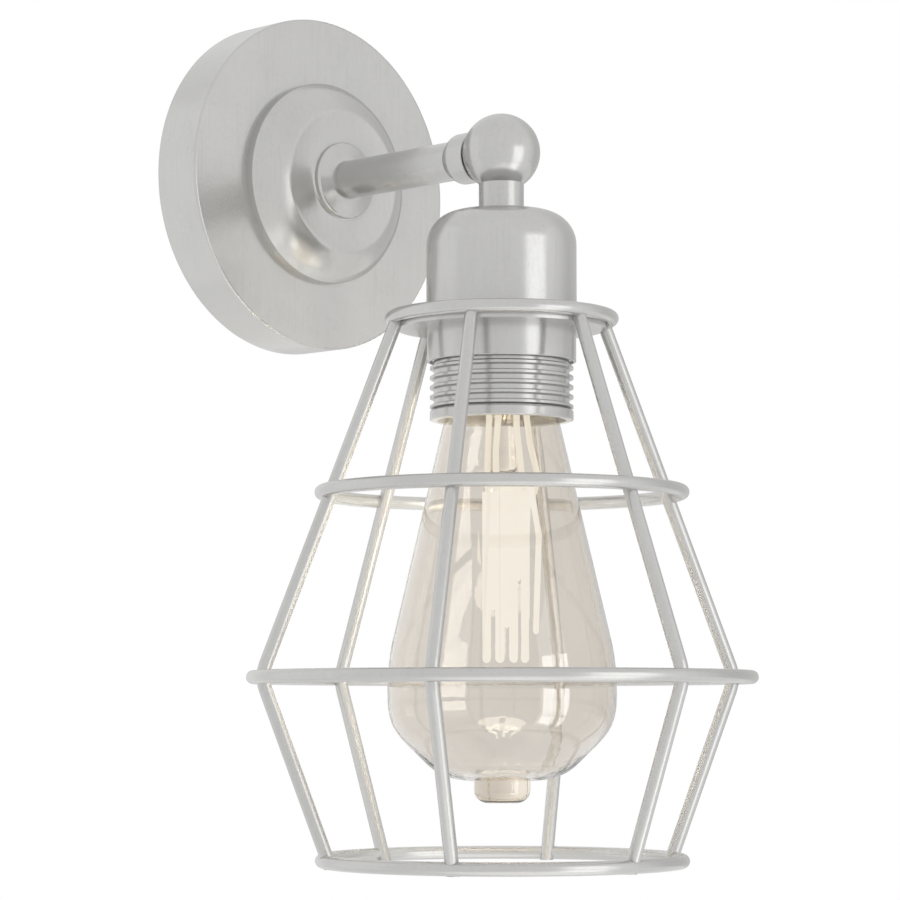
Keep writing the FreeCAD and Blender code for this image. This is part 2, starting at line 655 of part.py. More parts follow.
def centre_contact():
    floor = INSULATOR_FLOOR
    half_w, half_l = CONTACT_STRIP_W / 2, CONTACT_STRIP_L / 2
    strip = block(-half_w, half_w, -half_l, half_l, floor - STRIP_T, floor)
    return on_cage_axis(strip.fuse(rod(half_w, floor - STRIP_T - PAD_H, floor - STRIP_T)))


def ridge_heights():
    return [PLATE_BOTTOM - THREAD_START - index * THREAD_PITCH for index in range(THREAD_COUNT)]


def socket_sleeve():
    """The lampholder's skirt. Its thread is drawn as level ridges."""
    in_cup_r = CUP_BORE_R - SEAT
    points = [(SLEEVE_BORE_R, CUP_BOTTOM + SLEEVE_IN_CUP), (in_cup_r, CUP_BOTTOM + SLEEVE_IN_CUP),
              (in_cup_r, CUP_BOTTOM), (THREAD_ROOT_R, CUP_BOTTOM)]
    for height in ridge_heights():
        points += [(THREAD_ROOT_R, height + THREAD_NOSE), (THREAD_R, height + THREAD_FLAT),
                   (THREAD_R, height - THREAD_FLAT), (THREAD_ROOT_R, height - THREAD_NOSE)]
    flange = SLEEVE_BOTTOM + FLANGE_H
    points += [(THREAD_ROOT_R, flange), (THREAD_R, flange, FLANGE_EDGE),
               (THREAD_R, SLEEVE_BOTTOM, FLANGE_EDGE), (SLEEVE_BORE_R, SLEEVE_BOTTOM)]
    return on_cage_axis(turned(points))


def ring_nut():
    """The round nut that clamps the cage, with grooves that take the sleeve's ridges."""
    groove = THREAD_NOSE + THREAD_RUN
    groove_r = THREAD_R + THREAD_RUN
    land = THREAD_ROOT_R + THREAD_RUN
    points = [(RING_NUT_R, RING_NUT_BOTTOM, RING_NUT_EDGE), (RING_NUT_R, PLATE_BOTTOM), (land, PLATE_BOTTOM)]
    inner = land
    for height in ridge_heights():
        if height + groove > RING_NUT_BOTTOM:
            points += [(land, height + groove), (groove_r, height + groove)]
            inner = groove_r
        if height - groove > RING_NUT_BOTTOM + RING_NUT_EDGE:
            points += [(groove_r, height - groove), (land, height - groove)]
            inner = land
    points += [(inner, RING_NUT_BOTTOM)]
    return on_cage_axis(turned(points))


# ---- cage ----
def hoop(radius, height, extra=0.0):
    return on_cage_axis(Part.makeTorus(radius, WIRE_R + extra, FreeCAD.Vector(0, 0, height)))


def cage_plate():
    return on_cage_axis(tube(PLATE_R, PLATE_HOLE_R, PLATE_BOTTOM, CUP_BOTTOM))


def rib_path():
    """The rib's centre line in the XZ plane: a straight upper run, a bend and a straight lower run."""
    head = FreeCAD.Vector(TOP_RING_R - RIB_IN_TOP, 0, TOP_RING_Z)
    bend = FreeCAD.Vector(MIDDLE_RING_R - RIB_IN_MIDDLE, 0, MIDDLE_RING_Z)
    foot = FreeCAD.Vector(LOWER_RING_R - RIB_IN_LOWER, 0, LOWER_RING_Z)
    beyond = foot + (foot - bend).normalize() * (2 * WIRE_R)
    above = head + (head - bend).normalize() * WIRE_R
    start, middle, finish = corner(above, bend, beyond, RIB_BEND_R)
    return above, start, middle, finish, beyond


def rib(direction):
    above, start, middle, finish, beyond = rib_path()
    path = Part.Wire([Part.LineSegment(above, start).toShape(), Part.Arc(start, middle, finish).toShape(),
                      Part.LineSegment(finish, beyond).toShape()])
    section = Part.Wire([Part.Circle(above, (start - above).normalize(), WIRE_R).toShape()])
    wire = path.makePipeShell([section], True, False)
    high = TOP_RING_Z - WIRE_R + RIB_START
    low = LOWER_RING_Z - WIRE_R - RIB_NUB
    room = 2 * MIDDLE_RING_R
    wire = wire.common(block(0, room, -room, room, low, high))
    return on_cage_axis(wire.rotated(ORIGIN, Z, direction))


def welded_rib(direction):
    """A rib with a saddle cut for each ring that it is welded to, and for the plate's edge."""
    wire = rib(direction)
    for radius, height in ((TOP_RING_R, TOP_RING_Z), (UPPER_RING_R, UPPER_RING_Z),
                           (MIDDLE_RING_R, MIDDLE_RING_Z), (LOWER_RING_R, LOWER_RING_Z)):
        wire = wire.cut(hoop(radius, height, SEAT))
    plate_room = on_cage_axis(tube(PLATE_R + SEAT, PLATE_HOLE_R, PLATE_BOTTOM - SEAT, CUP_BOTTOM + SEAT))
    return wire.cut(plate_room)


# ---- bulb ----
def glass_wall(inset, tip):
    """Edges of the glass body's outline from its top to its bottom centre, moved in by inset."""
    def spot(radius, above_bottom):
        return FreeCAD.Vector(radius - inset, 0, BODY_BOTTOM + above_bottom)

    top = FreeCAD.Vector(GLASS_LIP_R - inset, 0, CAP_BOTTOM + GLASS_IN_CAP)
    lip = FreeCAD.Vector(GLASS_LIP_R - inset, 0, CAP_BOTTOM)
    throat = spot(GLASS_NECK_R, GLASS_NECK_AT)
    flank = spot(GLASS_FLANK_R, GLASS_FLANK_AT)
    slope = (flank - throat).normalize()
    bottom = FreeCAD.Vector(GLASS_TIP_R if tip else GLASS_TIP_R - inset, 0, BODY_BOTTOM + inset)
    belly = Part.BSplineCurve()
    belly_spots = [flank, spot(GLASS_R, GLASS_WIDEST_AT), spot(*GLASS_HIP), spot(*GLASS_TURN), bottom]
    belly.interpolate(Points=belly_spots, InitialTangent=slope, FinalTangent=FreeCAD.Vector(-1, 0, -0.05))
    shoulder = Part.BSplineCurve()
    shoulder.interpolate(Points=[lip, throat], InitialTangent=FreeCAD.Vector(0.35, 0, -1), FinalTangent=slope)
    edges = [Part.LineSegment(top, lip).toShape(), shoulder.toShape(),
             Part.LineSegment(throat, flank).toShape(), belly.toShape()]
    return edges, top, bottom


def bulb_glass():
    outer, outer_top, outer_bottom = glass_wall(0, True)
    inner, inner_top, inner_bottom = glass_wall(GLASS_T, False)
    tip_end = BODY_BOTTOM - GLASS_TIP_H
    tip_side = FreeCAD.Vector(GLASS_TIP_R, 0, tip_end + GLASS_TIP_EDGE)
    tip_round = FreeCAD.Vector(GLASS_TIP_R - GLASS_TIP_EDGE * (1 - math.sqrt(0.5)), 0,
                               tip_end + GLASS_TIP_EDGE * (1 - math.sqrt(0.5)))
    tip_flat = FreeCAD.Vector(GLASS_TIP_R - GLASS_TIP_EDGE, 0, tip_end)
    tip_centre = FreeCAD.Vector(0, 0, tip_end)
    floor_centre = FreeCAD.Vector(0, 0, inner_bottom.z)
    edges = outer + [Part.LineSegment(outer_bottom, tip_side).toShape(),
                     Part.Arc(tip_side, tip_round, tip_flat).toShape(),
                     Part.LineSegment(tip_flat, tip_centre).toShape(),
                     Part.LineSegment(tip_centre, floor_centre).toShape(),
                     Part.LineSegment(floor_centre, inner_bottom).toShape()]
    edges += inner + [Part.LineSegment(inner_top, outer_top).toShape()]
    wire = Part.Wire(Part.__sortEdges__(edges))
    return on_cage_axis(Part.Face(wire).revolve(ORIGIN, Z, 360))


def bulb_cap():
    """The screw cap: a thin shell whose knuckle thread is drawn as level waves."""
    root = CAP_R - CAP_DEPTH
    start = CAP_TOP - 3.0
    points = [(CONTACT_R + 4, CAP_TOP), (root, CAP_TOP - 1.0, 0.8), (root, start)]
    for turn in range(CAP_TURNS):
        crest = start - (turn + 0.5) * CAP_PITCH
        points += [(root, crest + CAP_PITCH * 0.35, 0.5), (CAP_R, crest + 0.5, 0.45),
                   (CAP_R, crest - 0.5, 0.45), (root, crest - CAP_PITCH * 0.35, 0.5)]
    inside = root - CAP_T
    points += [(root, CAP_BOTTOM), (inside, CAP_BOTTOM), (inside, CAP_TOP - 1.0 - CAP_T),
               (CONTACT_R + 4, CAP_TOP - CAP_T)]
    return on_cage_axis(turned(points))


def bulb_cap_insulator():
    low_r = CONTACT_R + 4 - SEAT
    return on_cage_axis(turned([(0, CAP_TOP - CAP_T), (low_r, CAP_TOP - CAP_T), (low_r, CAP_TOP),
                                (CONTACT_R + 0.8, CAP_TOP + CAP_GLASS_H, 0.6), (0, CAP_TOP + CAP_GLASS_H)]))


def bulb_contact():
    low = CAP_TOP + CAP_GLASS_H
    return on_cage_axis(turned([(0, low), (CONTACT_R, low), (CONTACT_R, CONTACT_TIP, 0.8), (0, CONTACT_TIP)]))


def stem_bottom():
    return CAP_BOTTOM - STEM_L


def bulb_stem():
    """The glass stem: a flare that closes the bulb's neck, drawn in to a thin tube, and a rod."""
    flare_top = CAP_BOTTOM + 3
    flare = turned([(0, flare_top - 1.2), (STEM_R, flare_top - 1.2), (STEM_FLARE_R, flare_top - 1.2, 0.5),
                    (STEM_FLARE_R, flare_top), (0, flare_top)])
    body = turned([(0, stem_bottom()), (STEM_R, stem_bottom(), 2.0),
                   (STEM_R, flare_top - 1), (0, flare_top - 1)])
    needle = rod(ROD_R, FILAMENT_FOOT + ROD_SHORT, stem_bottom() + 1)
    return on_cage_axis(flare.fuse(body).fuse(needle).removeSplitter())


def ring_spot(direction, height):
    """A point on the filament's ring, direction in degrees from +X."""
    angle = math.radians(direction)
    return FreeCAD.Vector(FILAMENT_RING_R * math.cos(angle), FILAMENT_RING_R * math.sin(angle), height)


def leg_directions():
    """The directions of each loop's first and second leg."""
    half = math.degrees(math.asin(LOOP_LEGS / 2 / FILAMENT_RING_R))
    middles = [LOOP_TURN + index * LOOP_STEP for index in range(len(LOOP_LIFTS))]
    return [(middle - half, middle + half) for middle in middles]


def half_turn(start, finish, rise):
    """An upright half circle from start to finish, over them or, with a negative rise, under them."""
    crown = (start + finish) * 0.5 + Z * (math.copysign((finish - start).Length / 2, rise))
    return Part.Arc(start, crown, finish).toShape()


def top_bow():
    """Height of the half circles that join one loop's second leg to the next loop's first."""
    legs = leg_directions()
    return (ring_spot(legs[1][0], 0) - ring_spot(legs[0][1], 0)).Length / 2


def filament_path():
    legs = leg_directions()
    shoulder = FILAMENT_HEAD - top_bow()
    edges = []
    for index, (first, second) in enumerate(legs):
        ankle = FILAMENT_FOOT + LOOP_LIFTS[index] + LOOP_LEGS / 2
        edges.append(Part.LineSegment(ring_spot(first, shoulder), ring_spot(first, ankle)).toShape())
        edges.append(half_turn(ring_spot(first, ankle), ring_spot(second, ankle), -1))
        edges.append(Part.LineSegment(ring_spot(second, ankle), ring_spot(second, shoulder)).toShape())
        if index + 1 < len(legs):
            edges.append(half_turn(ring_spot(second, shoulder), ring_spot(legs[index + 1][0], shoulder), 1))
    return edges


def least_gap(edges, radius):
    """The least gap of a wire to itself, between stretches that don't adjoin."""
    runs = [edge.discretize(GAP_POINTS) for edge in edges]
    least = math.inf
    for index, run in enumerate(runs):
        for other in runs[index + 2:]:
            least = min(least, min(a.distanceToPoint(b) for a in run for b in other))
    return least - 2 * radius


def bulb_filament():
    """Hairpin loops in a ring, joined in turn at their tops: one unbroken wire."""
    edges = filament_path()
    print("filament: least gap to itself", round(least_gap(edges, FILAMENT_R), 2))
    start = edges[0].Vertexes[0].Point
    section = Part.Wire([Part.Circle(start, Z, FILAMENT_R).toShape()])
    return on_cage_axis(Part.Wire(edges).makePipeShell([section], True, False))


def filament_supports():
    """A hook from the rod to each half circle at the top, and the two lead wires down from the stem."""
    legs = leg_directions()
    pieces = []
    for index in range(len(legs) - 1):
        crown = (ring_spot(legs[index][1], 0) + ring_spot(legs[index + 1][0], 0)) * 0.5
        reach = crown.Length - FILAMENT_R - HOOK_GAP - ROD_R - SEAT
        root = FreeCAD.Vector(ROD_R + SEAT, 0, FILAMENT_HEAD)
        hook = Part.makeCylinder(HOOK_R, reach, root, X)
        pieces.append(hook.rotated(ORIGIN, Z, math.degrees(math.atan2(crown.y, crown.x))))
    for direction in (legs[0][0], legs[-1][1]):
        foot = ring_spot(direction, FILAMENT_HEAD - top_bow())
        root = ring_spot(direction, 0).normalize() * (STEM_R * 0.6) + Z * stem_bottom()
        slant = (root - foot).getAngle(Z)
        spare = (HOOK_GAP + HOOK_R * math.sin(slant)) / math.cos(slant)
        way = (root - foot).normalize()
        length = (root - foot).Length - 2 * spare
        pieces.append(Part.makeCylinder(HOOK_R, length, foot + way * spare, way))
    return on_cage_axis(Part.makeCompound(pieces))


def nodes():
    """Every node's name and shape."""
    made = {}
    for make in (canopy, wall_strap, canopy_screw, canopy_catch, terminal_block, terminal_clamps, block_screw,
                 earth_screw, rosette, arm_boss, arm_nipple, arm_washer, arm_nut, arm_tube, swivel_collar,
                 swivel_nipple, swivel_nut, swivel_washer, swivel_ball, neck, cup, cup_washer, cup_nuts,
                 holder_bridge, bridge_screws, socket_insulator, screw_shell, centre_contact, wire_screws,
                 socket_sleeve, ring_nut, cage_plate, bulb_glass, bulb_cap, bulb_cap_insulator, bulb_contact,
                 bulb_stem, bulb_filament, filament_supports):
        made[make.__name__] = make()
    made["cage_ring_top"] = hoop(TOP_RING_R, TOP_RING_Z)
    made["cage_ring_upper"] = hoop(UPPER_RING_R, UPPER_RING_Z)
    made["cage_ring_middle"] = hoop(MIDDLE_RING_R, MIDDLE_RING_Z)
    made["cage_ring_lower"] = hoop(LOWER_RING_R, LOWER_RING_Z)
    for index in range(RIB_COUNT):
        made[f"rib_{index + 1}"] = welded_rib(RIB_TURN + index * 360 / RIB_COUNT)
    return made


def main():
    os.makedirs("parts", exist_ok=True)
    for name, shape in nodes().items():
        solids = shape.Solids
        sound = all(solid.isValid() for solid in solids)
        print(name, len(solids), round(shape.Volume, 1), "" if sound else "NOT VALID")
        shape.exportStep(f"parts/{name}.step")


main()
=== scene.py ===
"""Cage wall light: finishes, glass, wire and light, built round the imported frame. Metres, +Z up, wall at Y = 0."""

import json
import math

import bpy
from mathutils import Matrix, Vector


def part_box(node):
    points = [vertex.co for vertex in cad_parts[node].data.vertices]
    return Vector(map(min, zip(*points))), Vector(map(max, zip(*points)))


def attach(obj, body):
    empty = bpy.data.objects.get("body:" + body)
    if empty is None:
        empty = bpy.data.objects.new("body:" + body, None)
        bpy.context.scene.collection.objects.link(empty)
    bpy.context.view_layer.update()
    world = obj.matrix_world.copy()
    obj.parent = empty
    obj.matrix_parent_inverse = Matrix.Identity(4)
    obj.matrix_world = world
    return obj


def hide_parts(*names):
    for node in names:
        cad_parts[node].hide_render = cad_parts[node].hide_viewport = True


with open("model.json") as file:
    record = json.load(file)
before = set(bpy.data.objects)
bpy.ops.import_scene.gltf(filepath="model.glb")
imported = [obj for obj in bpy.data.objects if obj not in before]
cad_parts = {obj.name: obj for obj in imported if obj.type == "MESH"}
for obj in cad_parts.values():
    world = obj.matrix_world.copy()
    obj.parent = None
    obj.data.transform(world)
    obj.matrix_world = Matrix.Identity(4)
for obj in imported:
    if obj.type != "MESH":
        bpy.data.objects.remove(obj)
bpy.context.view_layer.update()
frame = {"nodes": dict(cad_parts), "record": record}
nodes = frame["nodes"]

# ---- finishes: colours are linear ----
NICKEL = (0.545, 0.543, 0.533)
NICKEL_DULL = (0.480, 0.477, 0.466)
ZINC = (0.55, 0.56, 0.57)
ZINC_DULL = (0.42, 0.43, 0.45)
BRASS = (0.62, 0.46, 0.22)
BRASS_DULL = (0.46, 0.33, 0.15)
CAP_METAL = (0.62, 0.62, 0.62)
CAP_DULL = (0.47, 0.47, 0.47)
WHITE_PLASTIC = (0.80, 0.79, 0.75)
CERAMIC = (0.84, 0.82, 0.77)
VITRITE = (0.02, 0.02, 0.025)
BULB_TINT = (0.916, 0.8865, 0.846)
STEM_TINT = (0.98, 0.95, 0.90)
BULB_DEPTH_TINT = (0.833, 0.633, 0.30)
GLOW = (0.995, 0.955, 0.875)
# painted glow of the wires above the filament, which are no lamp
STRAND_PAINTED_GLOW = (0.94, 0.88, 0.76)
SUPPORT_WIRE = (0.60, 0.56, 0.48)

# ---- filament: the wire and its hairpin loops, in metres ----
CAGE_AXIS = Vector((0, -0.0922, 0))
WIRE_R = 0.00064
RING_R = 0.0088
LOOP_TURN = -164.5
LOOP_STEP = 25.3
LOOP_LEGS = 0.00132
LOOP_LIFTS = (0, 0, 0, 0, 0.008, 0.010, 0.012, 0.027, 0.010, 0.015)
# how far these loops stand out, at mid height and at the end
LOOP_SPLAY = {4: (0.0021, 0.0012), 5: (0.0016, 0.0008), 6: (-0.0006, -0.0006)}
SPLAY_DROP = 0.012   # below the shoulder, where a splayed loop is furthest out
INNER_RING_R = 0.0073
INNER_LIFTS = (0.015, 0.010, 0.0225, 0.009)   # the inner loops, half a step round from the outer ones
STRAND_R = 0.0009
STRANDS = (   # across the picture, towards the camera's side, height
    ((-0.0040, 0.0076, -0.0975), (-0.0041, 0.0078, -0.090), (-0.0036, 0.0078, -0.0765), (-0.0040, 0.0070, -0.0686)),
    ((-0.0016, 0.0086, -0.0968), (-0.0018, 0.0084, -0.086), (-0.0005, 0.0080, -0.0686)),
    ((0.0058, 0.0066, -0.0968), (0.0052, 0.0070, -0.090), (0.0040, 0.0072, -0.079), (0.0041, 0.0070, -0.0686)),
    ((0.0090, 0.0010, -0.0975), (0.0102, 0.0012, -0.093), (0.0078, 0.0030, -0.083), (0.0060, 0.0040, -0.0686)),
)

# ---- rosette: radius and height above the canopy's face, in millimetres ----
ROSETTE_PROFILE = (
    (28.9, 0), (30.2, 0), (30.2, 2.2), (30.13, 2.5), (29.95, 2.75), (29.7, 3.05), (28.6, 4.75), (27.2, 6.2),
    (25.6, 7.4), (24.2, 8.22), (23.0, 8.8), (22.0, 9.21), (21.4, 9.42), (20.9, 9.46), (20.4, 9.38), (19.6, 9.25),
    (16.0, 8.8), (13.2, 8.7), (12.2, 8.78), (11.7, 8.93), (11.4, 9.15), (11.4, 9.4), (8.05, 9.4), (8.05, 8.1),
    (12.0, 7.3),
    (20.8, 8.1), (24.6, 6.4), (27.6, 3.9), (28.9, 1.9), (28.9, 0))

# ---- camera ----
CAMERA_AT = (-0.62306, -0.70421, -0.15830)
CAMERA_TURN = 44.556
CAMERA_LIFT = 4.811
LENS_MM = 124.375

# ---- floor and light ----
FLOOR_Z = -0.70
FLOOR_R = 2.2
FLOOR_GLOW = 0.27
SKY_LIGHT = 0.80     # for diffuse rays
SKY_SEEN = 1.0       # white, for camera, glossy and transmission rays
DIM_SIDE = 146       # the azimuth about which glossy rays find less light
DIM_START, DIM_END = 0.5, 0.9
DIM_SHARE = 0.32
BOUNCE_SIZE = (0.8, 0.7)
BOUNCE_AT = (-0.1, -0.42, -0.66)
BOUNCE_RADIANCE = 0.42
METAL_WINDOW = 0.98  # radiance of the window that the metal reflects
GLASS_WINDOW = 4.2   # and of the one that only the bulb's glass reflects


# ---- material building ----
class Finish:
    """A node material with its Principled shader and short calls for the nodes that a finish needs."""

    def __init__(self, name):
        self.material = bpy.data.materials.new(name)
        self.material.use_nodes = True
        self.tree = self.material.node_tree
        self.shader = self.tree.nodes["Principled BSDF"]
        self.place = self.node("ShaderNodeTexCoord").outputs["Object"]

    def node(self, kind, **settings):
        made = self.tree.nodes.new(kind)
        for name, value in settings.items():
            setattr(made, name, value)
        return made

    def link(self, source, target):
        self.tree.links.new(source, target)

    def put(self, **values):
        for name, value in values.items():
            self.shader.inputs[name.replace("_", " ")].default_value = value

    def stretched(self, scale):
        """The object's own coordinates, scaled along each axis."""
        mapping = self.node("ShaderNodeMapping")
        mapping.inputs["Scale"].default_value = scale
        self.link(self.place, mapping.inputs["Vector"])
        return mapping.outputs["Vector"]

    def noise(self, per_metre, detail=2.0, roughness=0.5, vector=None):
        made = self.node("ShaderNodeTexNoise")
        made.inputs["Scale"].default_value = per_metre
        made.inputs["Detail"].default_value = detail
        made.inputs["Roughness"].default_value = roughness
        self.link(vector or self.place, made.inputs["Vector"])
        return made.outputs["Fac"]

    def ramp(self, factor, low, high, start, finish):
        """Maps a factor from low...high to start...finish."""
        made = self.node("ShaderNodeMapRange")
        for name, value in (("From Min", low), ("From Max", high), ("To Min", start), ("To Max", finish)):
            made.inputs[name].default_value = value
        self.link(factor, made.inputs["Value"])
        return made.outputs["Result"]

    def mix(self, factor, first, second):
        made = self.node("ShaderNodeMix", data_type="RGBA")
        self.link(factor, made.inputs["Factor"])
        made.inputs["A"].default_value = (*first, 1)
        if isinstance(second, tuple):
            made.inputs["B"].default_value = (*second, 1)
        else:
            self.link(second, made.inputs["B"])
        return made.outputs["Result"]

    def add(self, first, second):
        made = self.node("ShaderNodeMath", operation="ADD")
        self.link(first, made.inputs[0])
        self.link(second, made.inputs[1])
        return made.outputs["Value"]

    def bump(self, height, depth_mm, strength=1.0, over=None):
        made = self.node("ShaderNodeBump")
        made.inputs["Strength"].default_value = strength
        made.inputs["Distance"].default_value = depth_mm / 1000
        self.link(height, made.inputs["Height"])
        if over:
            self.link(over, made.inputs["Normal"])
        return made.outputs["Normal"]


def plated_metal(name, bright, dull, rough_low, rough_high, speckle_mm=0.012, streaks=None, metal=1.0):
    """A plated metal: soft clouds of duller plating, a fine grain in its gloss and a speckled surface."""
    finish = Finish(name)
    clouds = finish.noise(38, 3, 0.6)
    grain = finish.noise(1100, 2, 0.6)
    shade = finish.add(finish.ramp(clouds, 0.42, 0.72, 0, 0.4), finish.ramp(grain, 0.5, 0.75, 0, 0.35))
    if streaks:
        brushed = finish.noise(1, 3, 0.65, finish.stretched(streaks))
        shade = finish.add(shade, finish.ramp(brushed, 0.5, 0.75, 0, 0.4))
    finish.link(finish.mix(shade, bright, dull), finish.shader.inputs["Base Color"])
    wear = finish.add(finish.ramp(clouds, 0.35, 0.7, rough_low, rough_high), finish.ramp(grain, 0.35, 0.65, -0.008, 0.012))
    finish.link(wear, finish.shader.inputs["Roughness"])
    normal = finish.bump(finish.noise(1500, 2, 0.55), speckle_mm)
    normal = finish.bump(finish.noise(330, 2, 0.5), speckle_mm * 2, over=normal)
    if streaks:
        normal = finish.bump(brushed, speckle_mm * 0.7, over=normal)
    finish.link(normal, finish.shader.inputs["Normal"])
    finish.put(Metallic=metal)
    return finish.material


def moulded(name, colour, rough, bump_mm, coat=0.0):
    """A moulded plastic or a glazed ceramic, with a faint unevenness of colour and skin."""
    finish = Finish(name)
    clouds = finish.noise(90, 3, 0.6)
    shade = tuple(c * 0.9 for c in colour)
    finish.link(finish.mix(finish.ramp(clouds, 0.4, 0.75, 0, 1), colour, shade), finish.shader.inputs["Base Color"])
    finish.link(finish.ramp(clouds, 0.3, 0.7, rough, rough + 0.12), finish.shader.inputs["Roughness"])
    finish.link(finish.bump(finish.noise(700, 2, 0.5), bump_mm), finish.shader.inputs["Normal"])
    finish.put(Coat_Weight=coat, Coat_Roughness=0.06)
    return finish.material


def clear_glass(name, colour, depth_density=0):
    """Clear glass with a warm tint, deeper where the light goes a long way through it, and a slight waviness."""
    finish = Finish(name)
    waves = finish.noise(60, 1, 0.4)
    tint = tuple(c * 0.985 for c in colour)
    finish.link(finish.mix(finish.ramp(waves, 0.35, 0.65, 0, 1), colour, tint), finish.shader.inputs["Base Color"])
    finish.link(finish.bump(waves, 0.015), finish.shader.inputs["Normal"])
    finish.put(Roughness=0.0, IOR=1.47, Transmission_Weight=1.0)
    if depth_density:
        depth = finish.node("ShaderNodeVolumeAbsorption")
        depth.inputs["Color"].default_value = (*BULB_DEPTH_TINT, 1)
        depth.inputs["Density"].default_value = depth_density
        finish.link(depth.outputs["Volume"], finish.tree.nodes["Material Output"].inputs["Volume"])
    return finish.material


def glowing_wire(name, glow):
    """A lit wire: an even warm glow, a little deeper in places along the wire."""
    finish = Finish(name)
    along = finish.noise(160, 2, 0.5)
    deeper = tuple(c * s for c, s in zip(glow, (0.99, 0.98, 0.965)))
    finish.link(finish.mix(finish.ramp(along, 0.4, 0.7, 0, 1), glow, deeper), finish.shader.inputs["Emission Color"])
    finish.put(Base_Color=(0, 0, 0, 1), Roughness=0.8, Specular_IOR_Level=0.0, Emission_Strength=1.0)
    return finish.material


FINISHES = {
    "satin_nickel": plated_metal("satin nickel plate", NICKEL, NICKEL_DULL, 0.22, 0.255, 0.009, (1300, 1300, 45), 0.74),
    "zinc_steel": plated_metal("zinc plate", ZINC, ZINC_DULL, 0.3, 0.4, 0.01),
    "plain_brass": plated_metal("turned brass", BRASS, BRASS_DULL, 0.29, 0.36, 0.008),
    "cap_metal": plated_metal("bright aluminium", CAP_METAL, CAP_DULL, 0.29, 0.35, 0.008),
    "block_plastic": moulded("white moulded plastic", WHITE_PLASTIC, 0.38, 0.02),
    "white_ceramic": moulded("white glazed ceramic", CERAMIC, 0.18, 0.01, 0.6),
    "cap_glass": moulded("black vitrite", VITRITE, 0.12, 0.008, 0.3),
    "bulb_clear": clear_glass("clear bulb glass", BULB_TINT, 22),
    "filament_wire": glowing_wire("glowing filament wire", GLOW),
}
FINISHES["stem_glass"] = clear_glass("clear stem glass", STEM_TINT)
FINISHES["support_wire"] = plated_metal("support wire", SUPPORT_WIRE, BRASS_DULL, 0.3, 0.4, 0.004)
# the strands get a painted glow, though only the filament is a lamp
FINISHES["painted_glow_strand"] = glowing_wire("strand with painted glow", STRAND_PAINTED_GLOW)


def dress(piece, finish):
    piece.data.materials.clear()
    piece.data.materials.append(FINISHES[finish])


for row in frame["record"]["subparts"]:
    dress(nodes[row["node"]], row["material_slot"])
dress(nodes["filament_supports"], "support_wire")
dress(nodes["bulb_stem"], "stem_glass")


# ---- pieces made here ----
def pull(way):
    bpy.ops.mesh.extrude_region_move(TRANSFORM_OT_translate={"value": tuple(way)})


def bend(start, finish, rise):
    """Spins the wire's end in an upright half circle from start to finish, over them or under them."""
    across = (finish - start).normalized()
    axis = across.cross(Vector((0, 0, 1))) * rise
    bpy.ops.mesh.spin(steps=8, angle=math.pi, center=(start + finish) / 2, axis=axis)


def hairpins(name, ring_r, first_turn, lifts, low, high, splay={}):
    """Hairpin loops in a ring, drawn down and up in turn from one round end."""
    def spot(direction, height):
        angle = math.radians(direction)
        return CAGE_AXIS + Vector((ring_r * math.cos(angle), ring_r * math.sin(angle), height))

    def outwards(index, share):
        angle = math.radians(middles[index])
        return Vector((math.cos(angle), math.sin(angle), 0)) * share

    half = math.degrees(math.asin(LOOP_LEGS / 2 / ring_r))
    middles = [first_turn + index * LOOP_STEP for index in range(len(lifts))]
    legs = [(middle - half, middle + half) for middle in middles]
    bow = (spot(legs[1][0], 0) - spot(legs[0][1], 0)).length / 2
    shoulder = high - bow - WIRE_R
    bpy.ops.object.select_all(action="DESELECT")
    bpy.ops.mesh.primitive_circle_add(vertices=12, radius=WIRE_R, fill_type="NGON", location=spot(legs[0][0], shoulder))
    piece = bpy.context.active_object
    piece.name = name
    bpy.ops.object.mode_set(mode="EDIT")
    for index, (first, second) in enumerate(legs):
        ankle = low + WIRE_R + lifts[index] + LOOP_LEGS / 2
        widest, end = splay.get(index, (0, 0))
        steps = [outwards(index, widest) - Vector((0, 0, SPLAY_DROP)),
                 outwards(index, end - widest) + Vector((0, 0, ankle - shoulder + SPLAY_DROP))]
        if index not in splay:
            steps = [Vector((0, 0, ankle - shoulder))]
        for step in steps:
            pull(step)
        out = outwards(index, end)
        bend(spot(first, ankle) + out, spot(second, ankle) + out, -1)
        for step in reversed(steps):
            pull(-step)
        if index + 1 < len(legs):
            bend(spot(second, shoulder), spot(legs[index + 1][0], shoulder), 1)
    bpy.ops.mesh.select_all(action="SELECT")
    bpy.ops.mesh.remove_doubles(threshold=0.00002)
    bpy.ops.mesh.normals_make_consistent(inside=False)
    bpy.ops.object.mode_set(mode="OBJECT")
    return piece


def filament():
    """The lit wire: an outer ring of hairpin loops and an inner one behind the gaps between them."""
    low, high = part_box("bulb_filament")
    outer = hairpins("outer loops", RING_R, LOOP_TURN, LOOP_LIFTS, low[2], high[2], LOOP_SPLAY)
    inner = hairpins("inner loops", INNER_RING_R, LOOP_TURN + LOOP_STEP / 2, INNER_LIFTS, low[2], high[2])
    bpy.ops.object.select_all(action="DESELECT")
    inner.select_set(True)
    outer.select_set(True)
    bpy.context.view_layer.objects.active = outer
    bpy.ops.object.join()
    return finished(outer, "filament_wire", "bulb", "filament_wire", "bulb_filament")


